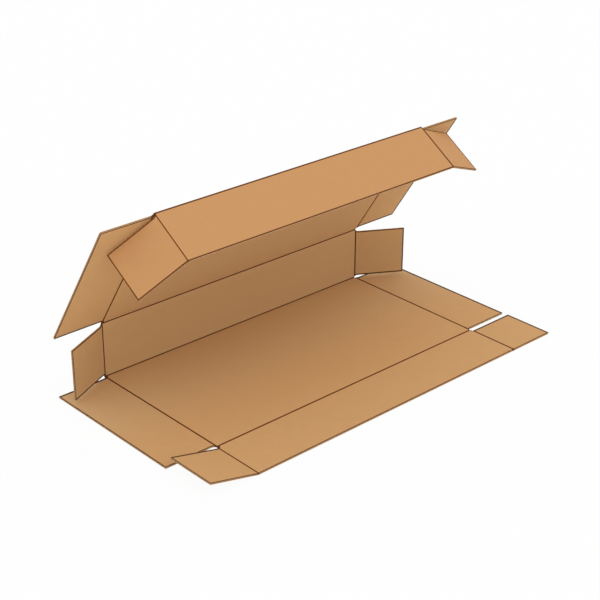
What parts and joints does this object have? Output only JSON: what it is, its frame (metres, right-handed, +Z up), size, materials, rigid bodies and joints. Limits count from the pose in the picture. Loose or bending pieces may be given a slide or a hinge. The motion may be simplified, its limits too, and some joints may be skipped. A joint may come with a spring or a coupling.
{
  "type": "five-panel folder cardboard box",
  "caption": "Long flat corrugated carton cut from one sheet, standing open: lid and tuck panel lean over a tray whose front panel and slotted end flaps still lie out flat.",
  "frame": {"origin": "centre of the base panel's underside, on the ground, between the middles of its four creases", "axes": "+X along the box towards its right end, +Y from the front panel to the back wall, +Z up"},
  "size_m": [0.7977, 0.4095, 0.3588],
  "materials": {
    "kraft_board": "matte"
  },
  "bodies": {
    "tray": {"base_and_back_wall": "kraft_board"},
    "back_left_flap": {"back_left_flap": "kraft_board"},
    "back_right_flap": {"back_right_flap": "kraft_board"},
    "front_panel": {"front_panel": "kraft_board"},
    "front_left_flap": {"front_left_flap": "kraft_board"},
    "front_right_flap": {"front_right_flap": "kraft_board"},
    "lid": {"lid": "kraft_board"},
    "tuck_panel": {"tuck_panel": "kraft_board"},
    "tuck_left_flap": {"tuck_left_flap": "kraft_board"},
    "tuck_right_flap": {"tuck_right_flap": "kraft_board"}
  },
  "joints": [
    {"name": "lid_crease", "type": "hinge", "parent": "tray", "child": "lid", "pos_m": [0, 0.1525, 0.1065], "axis": [1, 0, 0], "range_deg": [-33, 57]},
    {"name": "tuck_panel_crease", "type": "hinge", "parent": "lid", "child": "tuck_panel", "pos_m": [0, -0.01035, 0.35726], "axis": [1, 0, 0], "range_deg": [-90, 0]},
    {"name": "front_panel_crease", "type": "hinge", "parent": "tray", "child": "front_panel", "pos_m": [0, -0.1525, 0.0015], "axis": [-1, 0, 0], "range_deg": [0, 90]},
    {"name": "back_left_flap_crease", "type": "hinge", "parent": "tray", "child": "back_left_flap", "pos_m": [-0.3, 0.1525, 0.054], "axis": [0, 0, 1], "range_deg": [-25, 65]},
    {"name": "back_right_flap_crease", "type": "hinge", "parent": "tray", "child": "back_right_flap", "pos_m": [0.3, 0.1525, 0.054], "axis": [0, 0, -1], "range_deg": [-31, 59]},
    {"name": "front_left_flap_crease", "type": "hinge", "parent": "front_panel", "child": "front_left_flap", "pos_m": [-0.30165, -0.204, 0.0015], "axis": [0, 1, 0], "range_deg": [-14, 76]},
    {"name": "front_right_flap_crease", "type": "hinge", "parent": "front_panel", "child": "front_right_flap", "pos_m": [0.30165, -0.204, 0.0015], "axis": [0, -1, 0], "range_deg": [0, 90]},
    {"name": "tuck_left_flap_crease", "type": "hinge", "parent": "tuck_panel", "child": "tuck_left_flap", "pos_m": [-0.29835, -0.05144, 0.33058], "axis": [0, -0.8387, -0.5446], "range_deg": [-45, 45]},
    {"name": "tuck_right_flap_crease", "type": "hinge", "parent": "tuck_panel", "child": "tuck_right_flap", "pos_m": [0.29835, -0.05144, 0.33058], "axis": [0, 0.8387, 0.5446], "range_deg": [-25, 65]}
  ]
}
